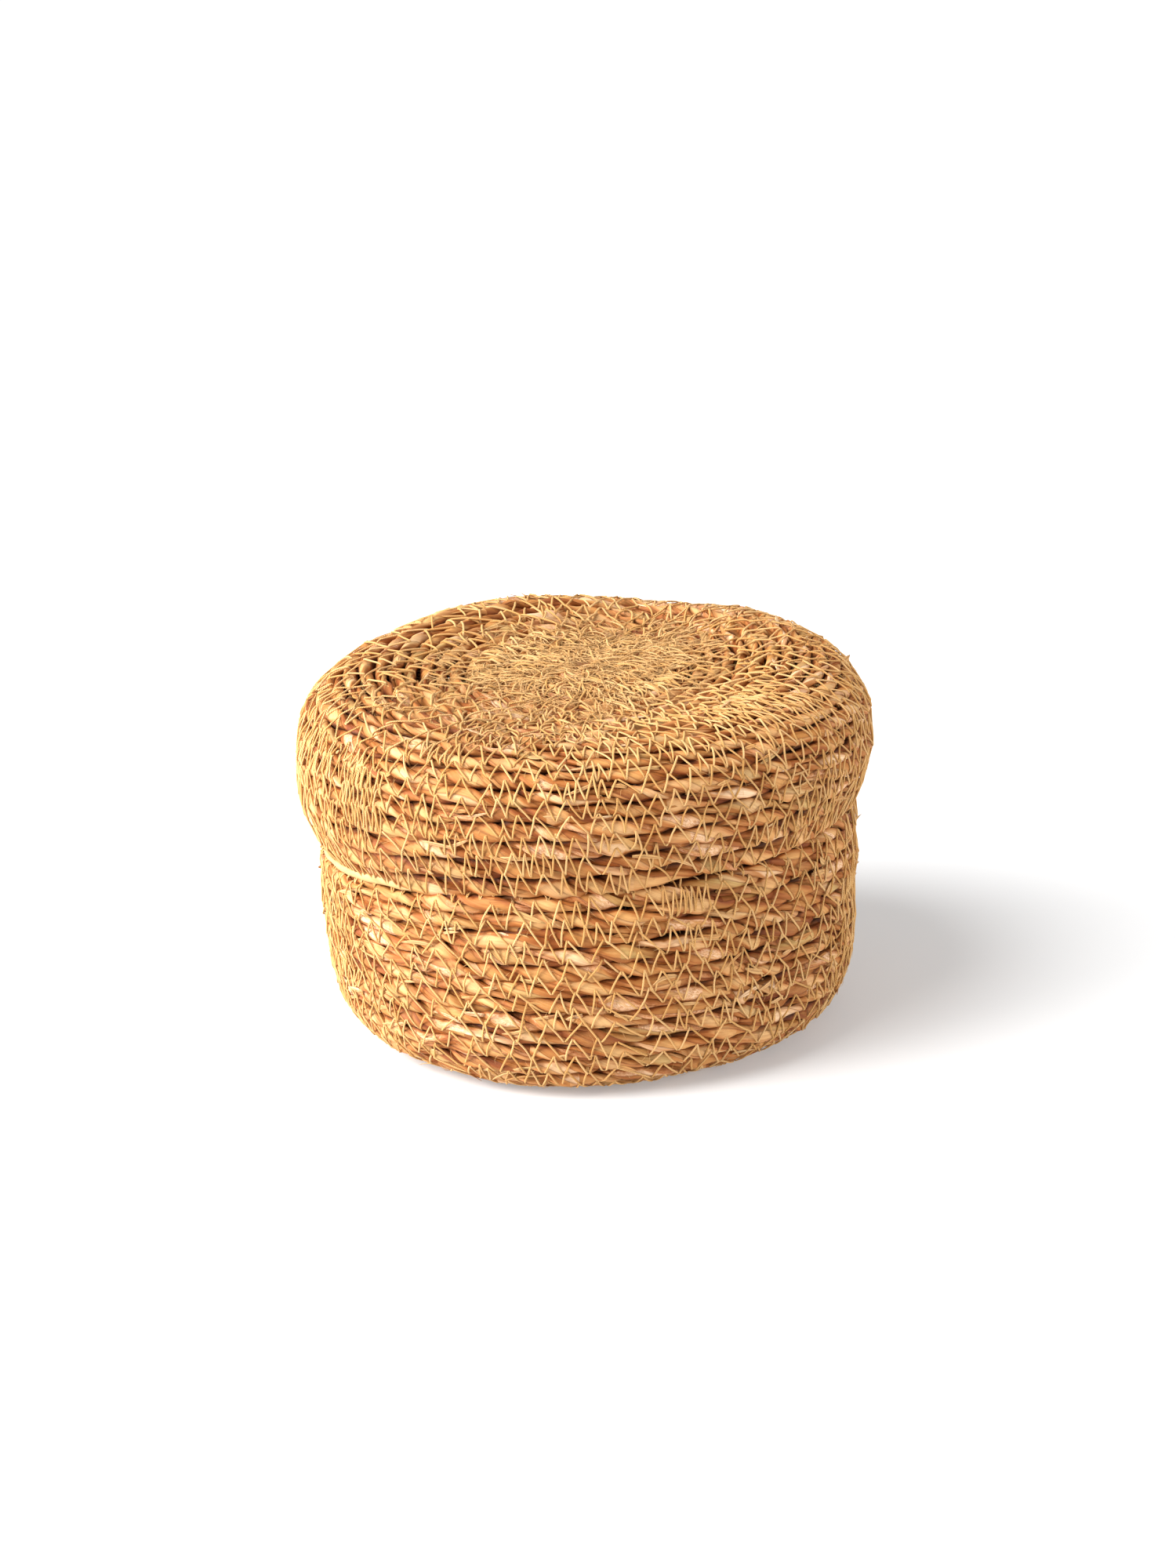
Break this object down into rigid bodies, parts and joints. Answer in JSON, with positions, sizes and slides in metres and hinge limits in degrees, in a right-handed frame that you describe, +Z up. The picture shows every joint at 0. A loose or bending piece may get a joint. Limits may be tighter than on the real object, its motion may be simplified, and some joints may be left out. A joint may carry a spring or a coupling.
{
  "type": "lidded coiled basket",
  "caption": "Round basket of coiled and stitched seagrass cord, with a bulging lid that sits on a ledge, flush with the wall.",
  "frame": {"origin": "middle of the underside, on the surface the basket stands on", "axes": "+Z up along the basket's axis, -Y towards the viewer, +X to the viewer's right"},
  "size_m": [0.2, 0.2, 0.1301],
  "materials": {
    "seagrass_cord": "dry twisted leaf, satin on the smooth blades",
    "seagrass_leaf": "dry smooth leaf, satin",
    "cotton_thread": "matt twisted thread"
  },
  "bodies": {
    "base": {"base_centre_loop": "seagrass_cord", "base_floor_coil": "seagrass_cord", "base_corner_coil": "seagrass_cord", "base_wall_coil": "seagrass_cord", "base_ledge_coil": "seagrass_cord", "base_neck_coil": "seagrass_cord", "base_cord_tail": "seagrass_leaf", "base_outer_thread": "cotton_thread", "base_inner_thread": "cotton_thread"},
    "lid": {"lid_centre_loop": "seagrass_cord", "lid_top_coil": "seagrass_cord", "lid_shoulder_coil": "seagrass_cord", "lid_wall_coil": "seagrass_cord", "lid_rim_coil": "seagrass_cord", "lid_cord_tail": "seagrass_leaf", "lid_outer_thread": "cotton_thread", "lid_inner_thread": "cotton_thread"}
  },
  "joints": [
    {"name": "lid_lift", "type": "slide", "parent": "base", "child": "lid", "axis": [0, 0, 1], "range_m": [0, 0.08]}
  ]
}
